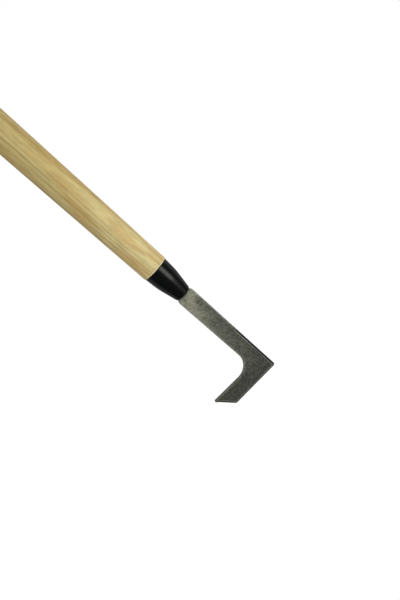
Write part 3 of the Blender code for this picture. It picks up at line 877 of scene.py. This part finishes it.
def rolled_steel():
    """Hot-rolled spring steel, cut from plate, hardened at the leg and oiled.

    Rolling scale is a thin mottled oxide, olive grey and satin. Its colour holds a painted sheen at the neck,
    where the key light reflects, and painted shade that darkens it towards the leg.
    The outer edges are ground in front: the bevel gets painted shade, and a bright line of bare steel with a
    painted highlight runs where it meets the face.
    """
    sizes = bpy.context.scene.weeder_blade
    material, tree, shader = new_material("hot_rolled_steel_with_scale")
    place = add_node(tree, "ShaderNodeTexCoord").outputs["Object"]
    parts = add_node(tree, "ShaderNodeSeparateXYZ", {0: place})

    # Painted light: darker from the neck to the corner, sooner on the arm's outer side, and on along the leg
    outer_side = add_node(
        tree, "ShaderNodeMapRange",
        {
            "Value": parts.outputs["X"],
            "From Min": -sizes.arm_width_top / 2, "From Max": sizes.arm_width_top / 2,
            "To Min": -9 * MM, "To Max": 15 * MM,
        },
    )
    drift_noise = add_node(
        tree, "ShaderNodeTexNoise", {"Vector": place, "Scale": 1 / (22 * MM), "Detail": 2.0},
    )
    drift = add_node(
        tree, "ShaderNodeMapRange",
        {
            "Value": drift_noise.outputs["Fac"], "From Min": 0.3, "From Max": 0.7,
            "To Min": -9 * MM, "To Max": 9 * MM,
        },
    )
    below = add_node(tree, "ShaderNodeMath", {0: NECK_Z, 1: parts.outputs["Z"]}, operation="SUBTRACT")
    level = add_node(tree, "ShaderNodeMath", {0: below.outputs[0], 1: outer_side.outputs[0]}, operation="ADD")
    level = add_node(tree, "ShaderNodeMath", {0: level.outputs[0], 1: drift.outputs[0]}, operation="ADD")
    along_leg = add_node(
        tree, "ShaderNodeMapRange",
        {
            "Value": parts.outputs["X"], "From Min": -10 * MM, "From Max": -35 * MM,
            "To Min": 0.0, "To Max": 34 * MM,
        },
    )
    level = add_node(tree, "ShaderNodeMath", {0: level.outputs[0], 1: along_leg.outputs[0]}, operation="ADD")
    level = add_node(
        tree, "ShaderNodeMapRange", {"Value": level.outputs[0], "From Min": 0.0, "From Max": 140 * MM},
    )
    # Painted sheen near the neck, where the key light reflects, and painted shade towards the leg
    scale_with_painted_sheen = add_node(
        tree, "ShaderNodeValToRGB", {"Fac": level.outputs[0]},
        stops=[
            (0.04, srgb(sizes.scale_neck_painted_sheen)), (0.29, srgb(sizes.scale_middle)), (0.6, srgb(sizes.scale_lower)),
            (0.79, srgb(sizes.scale_leg_painted_shade)),
        ],
    )

    # Mottling: clouds about 7.5 mm across, thickest along the outer side of the arm,
    # with 1.5 mm speckle on them
    clouds = add_node(
        tree, "ShaderNodeTexNoise",
        {"Vector": place, "Scale": 1 / (7.5 * MM), "Detail": 5.0, "Roughness": 0.65},
    )
    outer_share = add_node(
        tree, "ShaderNodeMapRange",
        {
            "Value": parts.outputs["X"], "From Min": -2 * MM, "From Max": sizes.arm_width_top / 2,
            "To Min": 0.0, "To Max": 0.23,
        },
    )
    mid_arm = add_node(
        tree, "ShaderNodeValToRGB", {"Fac": level.outputs[0]},
        stops=[(0.1, grey(0.0)), (0.25, grey(1.0)), (0.4, grey(0.55)), (0.6, grey(0.0))],
    )
    thick = add_node(
        tree, "ShaderNodeMath", {0: outer_share.outputs[0], 1: mid_arm.outputs[0]}, operation="MULTIPLY",
    )
    cloud_level = add_node(
        tree, "ShaderNodeMath", {0: clouds.outputs["Fac"], 1: thick.outputs[0]}, operation="ADD",
    )
    cloud_mask = add_node(
        tree, "ShaderNodeValToRGB", {"Fac": cloud_level.outputs[0]},
        stops=[(0.53, grey(0.0)), (0.67, grey(0.55))],
    )
    patched = add_node(
        tree, "ShaderNodeMix",
        {"Factor": cloud_mask.outputs[0], 6: scale_with_painted_sheen.outputs[0], 7: srgb(sizes.scale_deep)},
        data_type="RGBA",
    )
    speckle = add_node(
        tree, "ShaderNodeTexNoise",
        {"Vector": place, "Scale": 1 / (1.5 * MM), "Detail": 3.0, "Roughness": 0.6},
    )
    speckle_depth = add_node(
        tree, "ShaderNodeMapRange", {"Value": level.outputs[0], "To Min": 1.6, "To Max": 3.3},
    )
    speckle_tone = add_node(
        tree, "ShaderNodeMath", {0: speckle.outputs["Fac"], 1: 0.52}, operation="SUBTRACT",
    )
    speckle_tone = add_node(
        tree, "ShaderNodeMath", {0: speckle_tone.outputs[0], 1: speckle_depth.outputs[0], 2: 1.0},
        operation="MULTIPLY_ADD",
    )
    toned = add_node(
        tree, "ShaderNodeVectorMath", {0: patched.outputs[2], "Scale": speckle_tone.outputs[0]},
        operation="SCALE",
    )

    # Edge zones: across is the distance from the outline in millimetres, ground says where the edge is ground
    across = add_node(tree, "ShaderNodeAttribute", attribute_name="across").outputs["Fac"]
    ground = add_node(tree, "ShaderNodeAttribute", attribute_name="ground").outputs["Fac"]
    edge_place = add_node(tree, "ShaderNodeMath", {0: across, 1: 0.25}, operation="MULTIPLY").outputs[0]
    width = sizes.ground_width / MM / 4
    # Painted shade: the ground bevel is coloured near black, as if it faced away from the light
    bevel_shade_band = add_node(
        tree, "ShaderNodeValToRGB", {"Fac": edge_place},
        stops=[(0.0, grey(1.0)), (width - 0.02, grey(1.0)), (width, grey(0.0))],
    )
    bevel_painted_shade = add_node(tree, "ShaderNodeMath", {0: bevel_shade_band.outputs[0], 1: ground}, operation="MULTIPLY")
    # Bright line along the bevel and worn band on rolled edges: rubbed bare steel plus a painted edge
    # highlight
    bright_line_and_highlight = add_node(
        tree, "ShaderNodeValToRGB", {"Fac": edge_place},
        stops=[
            (width + 0.02, grey(0.0)), (width + 0.08, grey(1.0)),
            (width + 0.2, grey(0.9)), (width + 0.29, grey(0.0)),
        ],
    )
    worn_edge_and_highlight = add_node(
        tree, "ShaderNodeValToRGB", {"Fac": edge_place},
        stops=[(0.0, grey(0.5)), (0.13, grey(0.7)), (0.3, grey(0.35)), (0.54, grey(0.0))],
    )
    rub_and_highlight_band = add_node(
        tree, "ShaderNodeMix", {"Factor": ground, 6: worn_edge_and_highlight.outputs[0], 7: bright_line_and_highlight.outputs[0]},
        data_type="RGBA",
    )
    # The hardened leg is rubbed less and gets a weaker painted edge highlight
    rub_and_highlight_peak = add_node(
        tree, "ShaderNodeMapRange",
        {"Value": level.outputs[0], "From Min": 0.6, "From Max": 0.8, "To Min": 0.9, "To Max": 0.4},
    )
    rub_and_highlight_noise = add_node(
        tree, "ShaderNodeMapRange",
        {
            "Value": speckle.outputs["Fac"], "From Min": 0.35, "From Max": 0.6,
            "To Min": 0.25, "To Max": rub_and_highlight_peak.outputs[0],
        },
    )
    rubbed = add_node(
        tree, "ShaderNodeMath", {0: rub_and_highlight_band.outputs[2], 1: rub_and_highlight_noise.outputs[0]}, operation="MULTIPLY",
    )
    # Mixes in bare steel for the rubbed edges and the painted edge highlight
    worn_and_highlit = add_node(
        tree, "ShaderNodeMix",
        {"Factor": rubbed.outputs[0], 6: toned.outputs[0], 7: srgb(sizes.bare_steel_and_highlight)},
        data_type="RGBA",
    )
    # Painted shade on the ground bevel
    bevelled = add_node(
        tree, "ShaderNodeMix",
        {"Factor": bevel_painted_shade.outputs[0], 6: worn_and_highlit.outputs[2], 7: srgb("1E1F1C")},
        data_type="RGBA",
    )
    tree.links.new(bevelled.outputs[2], shader.inputs["Base Color"])

    metal = add_node(
        tree, "ShaderNodeMapRange",
        {"Value": rubbed.outputs[0], "From Min": 0.0, "From Max": 0.6, "To Min": 0.35, "To Max": 0.45},
    )
    tree.links.new(metal.outputs[0], shader.inputs["Metallic"])
    roughness = add_node(
        tree, "ShaderNodeMapRange",
        {"Value": clouds.outputs["Fac"], "From Min": 0.3, "From Max": 0.7, "To Min": 0.46, "To Max": 0.62},
    )
    tree.links.new(roughness.outputs[0], shader.inputs["Roughness"])
    height = add_node(
        tree, "ShaderNodeMath", {0: clouds.outputs["Fac"], 1: speckle.outputs["Fac"]}, operation="ADD",
    )
    bump = add_node(
        tree, "ShaderNodeBump", {"Strength": 0.3, "Distance": 0.15 * MM, "Height": height.outputs[0]},
    )
    tree.links.new(bump.outputs[0], shader.inputs["Normal"])
    return material


def corner_arc(before, corner, after, radius):
    """Points of the arc that rounds a corner between two straight edges."""
    towards_before = (before - corner).normalized()
    towards_after = (after - corner).normalized()
    half = towards_before.angle(towards_after) / 2
    centre = corner + (towards_before + towards_after).normalized() * radius / math.sin(half)
    start = corner + towards_before * radius / math.tan(half) - centre
    end = corner + towards_after * radius / math.tan(half) - centre
    turn = start.angle_signed(end)
    steps = max(3, round(abs(turn) / ARC_STEP))
    return [centre + Matrix.Rotation(-turn * step / steps, 2) @ start for step in range(steps + 1)]


def blade_corners(sizes):
    """Corners of the blade and its tang as (x, drop), each with its rounding, from the tang's end at +X."""
    neck_drop = SHOULDER_Z - NECK_Z
    arm_drop = neck_drop + sizes.shoulder_height
    tang_drop = neck_drop - sizes.tang_length
    lean = math.tan(sizes.leg_lean)
    corner = Vector((sizes.arm_width_end / 2, sizes.corner_drop))
    heel = Vector((-sizes.heel_reach, corner.y - (corner.x + sizes.heel_reach) * lean))
    tip_drop = corner.y - (corner.x + sizes.tip_reach) * lean - sizes.leg_width_tip / math.cos(sizes.leg_lean)
    root_drop = corner.y - sizes.arm_width_end * lean - sizes.leg_width_root / math.cos(sizes.leg_lean)
    return [
        (Vector((sizes.tang_width_end / 2, tang_drop)), TANG_END_ROUND),
        (Vector((sizes.tang_width_root / 2, neck_drop)), 0.0),
        (Vector((sizes.neck_width / 2, neck_drop)), NECK_ROUND),
        (Vector((sizes.arm_width_top / 2, arm_drop)), SHOULDER_ROUND),
        (corner, CORNER_ROUND),
        (heel, HEEL_ROUND),
        (Vector((-sizes.tip_reach, tip_drop)), TIP_ROUND),
        (Vector((-sizes.arm_width_end / 2, root_drop)), sizes.inner_fillet),
        (Vector((-sizes.arm_width_top / 2, arm_drop)), SHOULDER_ROUND),
        (Vector((-sizes.neck_width / 2, neck_drop)), NECK_ROUND),
        (Vector((-sizes.tang_width_root / 2, neck_drop)), 0.0),
        (Vector((-sizes.tang_width_end / 2, tang_drop)), TANG_END_ROUND),
    ]


def blade_ring(sizes, inset):
    """The blade's outline moved inwards by inset, as (corner index, point); its length never changes.

    Every corner of the sharp outline moves with its two edges. An outer corner's rounding shrinks by the
    inset and an inner corner's grows by it, so the rings never cross.
    """
    corners = blade_corners(sizes)
    count = len(corners)
    moved = []
    for index, (corner, radius) in enumerate(corners):
        along_in = (corner - corners[index - 1][0]).normalized()
        along_out = (corners[(index + 1) % count][0] - corner).normalized()
        inward_in = Vector((-along_in.y, along_in.x))
        inward_out = Vector((-along_out.y, along_out.x))
        place = corner + (inward_in + inward_out) * inset / (1 + inward_in.dot(inward_out))
        outer = along_in.x * along_out.y - along_in.y * along_out.x > 0
        moved.append((place, max(radius + (-inset if outer else inset), LEAST_ROUND)))
    arcs = []
    for index, (place, radius) in enumerate(moved):
        arcs.append(corner_arc(moved[index - 1][0], place, moved[(index + 1) % count][0], radius))
    ring = []
    for index, arc in enumerate(arcs):
        ring += [(index, point) for point in arc]
        after = (index + 1) % count
        steps = max(1, round((corners[after][0] - corners[index][0]).length / EDGE_STEP))
        ring += [(index, arc[-1].lerp(arcs[after][0], step / steps)) for step in range(1, steps)]
    return ring


def ground_amount(sizes, index, drop):
    """How far the edge is ground, from 0 to 1, at a point past the corner with this index."""
    if index < SHOULDER_CORNER or index >= TIP_CORNER:
        return 0.0
    if index > SHOULDER_CORNER:
        return 1.0
    share = min(max((drop - sizes.ground_drop) / sizes.ground_fade + 1, 0.0), 1.0)
    return share * share * (3 - 2 * share)


def edge_sections(sizes):
    """Sections of the edge from the back to the front, as ((inset, y) rolled, (inset, y) ground) pairs."""
    half = sizes.thickness / 2
    edge = sizes.edge_round
    width = sizes.ground_width
    back = [(edge + 1.9 * MM, half), (edge + 1.8 * MM, half), (edge + 0.8 * MM, half)]
    for step in range(5):
        turn = math.radians(90) * step / 4
        back.append((edge * (1 - math.sin(turn)), half - edge * (1 - math.cos(turn))))
    sections = [(section, section) for section in back]
    for step in range(5):
        turn = math.radians(90) * step / 4
        rolled = (edge * (1 - math.cos(turn)), edge * (1 - math.sin(turn)) - half)
        ground = (width * step / 4, width * (1 - step / 4) - half)
        sections.append((rolled, ground))
    # Rings on the front face, in millimetres past a rolled edge and past the bevel
    for rolled_extra, ground_extra in ((0.4, 0.4), (1.0, 0.8), (1.8, 1.15), (1.9, 1.2)):
        sections.append(((edge + rolled_extra * MM, -half), (width + ground_extra * MM, -half)))
    return sections


class WEEDER_OT_blade(bpy.types.Operator):
    """Make the L-shaped steel blade with its ground outer edges and tang"""

    bl_idname = "weeder.blade"
    bl_label = "Steel Blade"

    def execute(self, context):
        sizes = context.scene.weeder_blade
        shape = bmesh.new()
        across = shape.verts.layers.float.new("across")
        ground = shape.verts.layers.float.new("ground")
        amounts = [ground_amount(sizes, index, point.y) for index, point in blade_ring(sizes, 0.0)]
        rings = []
        sections = edge_sections(sizes)
        for number, (rolled, bevelled) in enumerate(sections):
            on_face = number in (0, len(sections) - 1)
            rolled_ring = blade_ring(sizes, rolled[0])
            ground_ring = blade_ring(sizes, bevelled[0])
            ring = []
            for (_, point), (_, ground_point), amount in zip(rolled_ring, ground_ring, amounts):
                place = point.lerp(ground_point, amount)
                y = rolled[1] + (bevelled[1] - rolled[1]) * amount
                vert = shape.verts.new((place.x, y, SHOULDER_Z - place.y))
                inset = rolled[0] + (bevelled[0] - rolled[0]) * amount
                vert[across] = FACE_ACROSS if on_face else inset / MM
                vert[ground] = amount if y < 0 else 0.0
                ring.append(vert)
            if rings:
                bridge(shape, rings[-1], ring)
            rings.append(ring)
        shape.faces.new(rings[0])
        shape.faces.new(rings[-1])
        taper_tang(shape, sizes)
        bmesh.ops.remove_doubles(shape, verts=shape.verts, dist=0.001 * MM)
        bmesh.ops.recalc_face_normals(shape, faces=shape.faces)
        piece = link_mesh("steel_blade", shape, rolled_steel())
        finish_piece(piece, "blade")
        return {"FINISHED"}


def taper_tang(shape, sizes):
    """Thin the tang towards its end."""
    for vert in shape.verts:
        rise = vert.co.z - NECK_Z
        if rise > 0:
            vert.co.y *= 1 - TANG_THINNING * rise / sizes.tang_length


# ---------------------------------------------------------------- stage


def plain_material(name, colour):
    """A matt stage material, mostly glow.

    It stays just under white, and doesn't bleed over thin edges.
    """
    material, _, shader = new_material(name)
    shader.inputs["Base Color"].default_value = grey(0.02)
    shader.inputs["Roughness"].default_value = 1.0
    shader.inputs["Specular IOR Level"].default_value = 0.0
    shader.inputs["Emission Color"].default_value = colour
    shader.inputs["Emission Strength"].default_value = 1.0
    return material


def direction(azimuth, elevation):
    """The way from a target to what faces it, by azimuth right of the front and elevation."""
    return Vector((
        math.sin(azimuth) * math.cos(elevation),
        -math.cos(azimuth) * math.cos(elevation),
        math.sin(elevation),
    ))


def place_light(light, aim, azimuth, elevation, distance, shows):
    """Put a light in the scene, at a distance from aim and facing it."""
    lamp = bpy.data.objects.new(light.name, light)
    away = direction(azimuth, elevation)
    lamp.location = aim + away * distance
    lamp.rotation_euler = away.to_track_quat("Z", "Y").to_euler()
    lamp.visible_camera = False
    lamp.visible_diffuse = "diffuse" in shows
    lamp.visible_glossy = "gloss" in shows
    bpy.context.scene.collection.objects.link(lamp)


def area_light(name, size, strength):
    """A soft panel."""
    light = bpy.data.lights.new(name, "AREA")
    light.shape = "RECTANGLE"
    light.size, light.size_y = size
    light.energy = strength
    return light


def sky_light(name, spread, strength):
    """A far soft light, as bright on the whole length of the handle."""
    light = bpy.data.lights.new(name, "SUN")
    light.angle = spread
    light.energy = strength
    return light


def make_camera(sizes):
    """A camera a little above the blade's neck, rolled so that the handle runs to the upper left."""
    azimuth = math.radians(-0.8)
    elevation = math.radians(14.8)
    roll = math.radians(48.21)
    aim = Vector((6.4 * MM, 0.0, SHOULDER_Z - 53.1 * MM))
    away = direction(azimuth, elevation)
    data = bpy.data.cameras.new("camera")
    data.lens = 27.0
    data.sensor_width = 36.0
    data.clip_start = 0.01
    camera = bpy.data.objects.new("camera", data)
    camera.location = aim + away * sizes.camera_distance
    upright = away.to_track_quat("Z", "Y")
    camera.rotation_mode = "QUATERNION"
    camera.rotation_quaternion = upright @ Quaternion((0.0, 0.0, 1.0), -roll)
    bpy.context.scene.collection.objects.link(camera)
    bpy.context.scene.camera = camera


def disc(name, z, radius, material):
    """A flat round floor."""
    shape = bmesh.new()
    bmesh.ops.create_circle(
        shape, cap_ends=True, segments=96, radius=radius, matrix=Matrix.Translation((0.0, 0.0, z)),
    )
    return link_mesh(name, shape, material)


class WEEDER_OT_stage(bpy.types.Operator):
    """Make the pale floor, the soft studio lights, the white backdrop and the camera"""

    bl_idname = "weeder.stage"
    bl_label = "Stage"

    def execute(self, context):
        sizes = context.scene.weeder_stage
        floor_z = BLADE_BOX[0].z - sizes.hang_height
        floor = disc("floor", floor_z, sizes.floor_radius, plain_material("pale_floor", grey(0.98)))
        floor.visible_diffuse = False
        floor.visible_glossy = False

        shell = bmesh.new()
        bmesh.ops.create_icosphere(shell, subdivisions=4, radius=sizes.floor_radius)
        bmesh.ops.reverse_faces(shell, faces=shell.faces)
        backdrop = link_mesh("backdrop", shell, plain_material("white_backdrop", grey(0.98)))
        backdrop.visible_diffuse = False
        backdrop.visible_glossy = False
        backdrop.visible_shadow = False

        world = bpy.data.worlds.new("soft_room")
        world.use_nodes = True
        background = world.node_tree.nodes["Background"]
        background.inputs["Color"].default_value = (1.0, 0.98, 0.94, 1.0)
        background.inputs["Strength"].default_value = 0.55
        world.cycles_visibility.glossy = False
        context.scene.world = world

        neck = Vector((0.0, 0.0, SHOULDER_Z))
        middle = Vector((0.0, 0.0, SHOULDER_Z / 2))
        lights = (
            # light, what it faces, azimuth, elevation, distance, what it shows in
            (area_light("strip", (0.42, 0.3), 1.05), neck, 34, -18, 0.8, "gloss"),
            (area_light("rear_left", (2.4, 3.6), 6.8), middle, -130, 0, 1.6, "diffuse gloss"),
            (area_light("rear_right", (2.4, 3.6), 8.2), middle, 130, 0, 1.6, "diffuse gloss"),
            (sky_light("front_fill", math.radians(45), 1.25), neck, 0, 25, 3.0, "diffuse"),
            (sky_light("back_fill", math.radians(45), 1.0), neck, 165, 20, 3.0, "diffuse"),
            (sky_light("side_key", math.radians(45), 1.35), neck, 62, 22, 3.0, "diffuse"),
        )
        for light, aim, azimuth, elevation, distance, shows in lights:
            place_light(light, aim, math.radians(azimuth), math.radians(elevation), distance, shows)
        make_camera(sizes)
        context.scene.view_settings.view_transform = "Standard"
        return {"FINISHED"}


# ---------------------------------------------------------------- add-on


class WEEDER_PT_pieces(bpy.types.Panel):
    """Buttons and settings for the weeder's pieces"""

    bl_idname = "WEEDER_PT_pieces"
    bl_label = "Patio Weeder"
    bl_space_type = "VIEW_3D"
    bl_region_type = "UI"
    bl_category = "Weeder"

    def draw(self, context):
        for name, group in SETTINGS.items():
            box = self.layout.box()
            box.operator("weeder." + name)
            for key in group.__annotations__:
                box.prop(getattr(context.scene, "weeder_" + name), key)


SETTINGS = {
    "handle": WEEDER_PG_handle,
    "ferrule": WEEDER_PG_ferrule,
    "blade": WEEDER_PG_blade,
    "stage": WEEDER_PG_stage,
}
CLASSES = (
    *SETTINGS.values(),
    WEEDER_OT_handle, WEEDER_OT_ferrule, WEEDER_OT_blade, WEEDER_OT_stage,
    WEEDER_PT_pieces,
)


def register():
    """Register the classes and hang their settings on the scene."""
    for cls in CLASSES:
        bpy.utils.register_class(cls)
    for name, group in SETTINGS.items():
        setattr(bpy.types.Scene, "weeder_" + name, bpy.props.PointerProperty(type=group))


def unregister():
    """Take everything off again."""
    for name in SETTINGS:
        delattr(bpy.types.Scene, "weeder_" + name)
    for cls in reversed(CLASSES):
        bpy.utils.unregister_class(cls)


def main():
    register()
    bpy.ops.weeder.handle()
    bpy.ops.weeder.ferrule()
    bpy.ops.weeder.blade()
    bpy.ops.weeder.stage()


if __name__ == "__main__":
    main()
